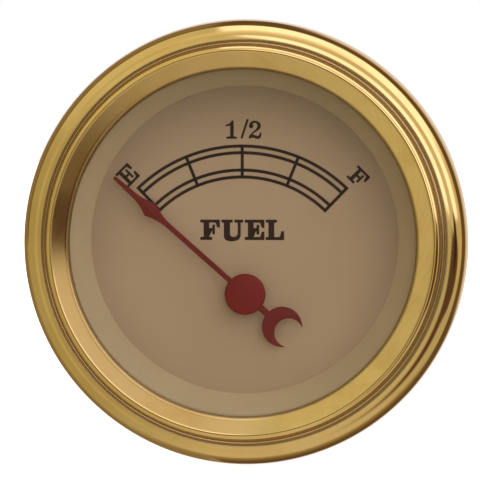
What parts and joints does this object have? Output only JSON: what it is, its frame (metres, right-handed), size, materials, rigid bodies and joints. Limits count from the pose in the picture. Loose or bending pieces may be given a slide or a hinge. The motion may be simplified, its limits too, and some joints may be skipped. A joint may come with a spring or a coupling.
{
  "type": "fuel gauge",
  "caption": "Round dashboard fuel gauge with a stepped gold bezel, a beige dial, a short-sweep red pointer and a clamp bracket behind.",
  "frame": {"origin": "on the case's axis, in the plane of the bezel's back face, where it rests on the panel", "axes": "the dial faces -Y, +Y runs back through the case, +Z is 12 o'clock and +X is 3 o'clock as the driver sees it"},
  "size_m": [0.0602, 0.0573, 0.0602],
  "materials": {
    "bezel_gold": "polished spun brass",
    "lens_glass": "clear, with a ground bevel",
    "gasket_rubber": "matte",
    "trim_beige": "satin paint",
    "dial_beige": "matte paint with dark brown print",
    "carrier_white": "moulded",
    "pointer_red": "satin red paint",
    "hub_red": "moulded, slightly domed",
    "steel": "bright turned steel",
    "magnet_grey": "ground magnet",
    "brass": "turned brass",
    "bobbin_ivory": "moulded",
    "wire_dark": "enamelled copper wire",
    "wire_light": "enamelled copper wire",
    "can_steel": "tinned steel",
    "board_brown": "resin laminate",
    "resistor_enamel": "enamel",
    "diode_black": "moulded",
    "case_zinc": "zinc-plated drawn steel",
    "insulator_brown": "phenolic board",
    "socket_black": "moulded",
    "bulb_glass": "clear",
    "bracket_zinc": "zinc-plated strip steel",
    "stud_zinc": "zinc-plated threaded steel"
  },
  "bodies": {
    "gauge": {"bezel": "bezel_gold", "lens": "lens_glass", "lens_gasket": "gasket_rubber", "trim_ring": "trim_beige", "dial": "dial_beige", "dial_carrier": "carrier_white", "spindle_bush": "brass", "bobbin_front": "bobbin_ivory", "bobbin_rear": "bobbin_ivory", "coil_cosine": "wire_dark", "coil_sine": "wire_light", "shield_can": "can_steel", "return_magnet": "magnet_grey", "coil_pins": "brass", "movement_spacers": "brass", "movement_screws": "steel", "circuit_board": "board_brown", "board_screws": "steel", "ballast_resistor": "resistor_enamel", "zener_diode": "diode_black", "case": "case_zinc", "terminal_stud_ignition": "brass", "terminal_stud_sender": "brass", "terminal_stud_ground": "brass", "terminal_bushes": "insulator_brown", "ground_spacer": "steel", "terminal_insulators": "insulator_brown", "ground_washer": "steel", "terminal_fixing_nuts": "brass", "terminal_lock_washers": "steel", "terminal_wire_nuts": "brass", "clamp_studs": "stud_zinc"},
    "pointer": {"pointer_blade": "pointer_red", "pointer_hub": "hub_red", "spindle": "steel", "stop_arm": "steel", "rotor_magnet": "magnet_grey"},
    "lamp": {"lamp_socket": "socket_black", "lamp_bulb": "bulb_glass", "lamp_filament": "steel", "lamp_tabs": "brass"},
    "bracket": {"clamp_bracket": "bracket_zinc", "clamp_washers": "steel"},
    "clamp_nut_upper": {"clamp_nut_upper": "brass"},
    "clamp_nut_lower": {"clamp_nut_lower": "brass"}
  },
  "joints": [
    {"name": "pointer_swing", "type": "hinge", "parent": "gauge", "child": "pointer", "pos_m": [0, 0, -0.007], "axis": [0, 1, 0], "range_deg": [0, 97], "stiffness_Nm_per_rad": 0.00002, "springref_deg": -5.73},
    {"name": "lamp_turn", "type": "hinge", "parent": "gauge", "child": "lamp", "pos_m": [0.0155, 0, 0.004], "axis": [0, 1, 0], "range_deg": [0, 60]},
    {"name": "clamp_slide", "type": "slide", "parent": "gauge", "child": "bracket", "axis": [0, 1, 0], "range_m": [-0.004, 0.003]},
    {"name": "clamp_nut_upper_turn", "type": "hinge", "parent": "bracket", "child": "clamp_nut_upper", "pos_m": [0, 0, 0.012], "axis": [0, 1, 0], "range_deg": [-1815, 1361]},
    {"name": "clamp_nut_lower_turn", "type": "hinge", "parent": "bracket", "child": "clamp_nut_lower", "pos_m": [0, 0, -0.012], "axis": [0, 1, 0], "range_deg": [-1815, 1361]}
  ],
  "couplings": [
    {"joint": "clamp_nut_upper_turn", "follows": "clamp_slide", "rad_per_m": 7915.8},
    {"joint": "clamp_nut_lower_turn", "follows": "clamp_slide", "rad_per_m": 7915.8}
  ]
}
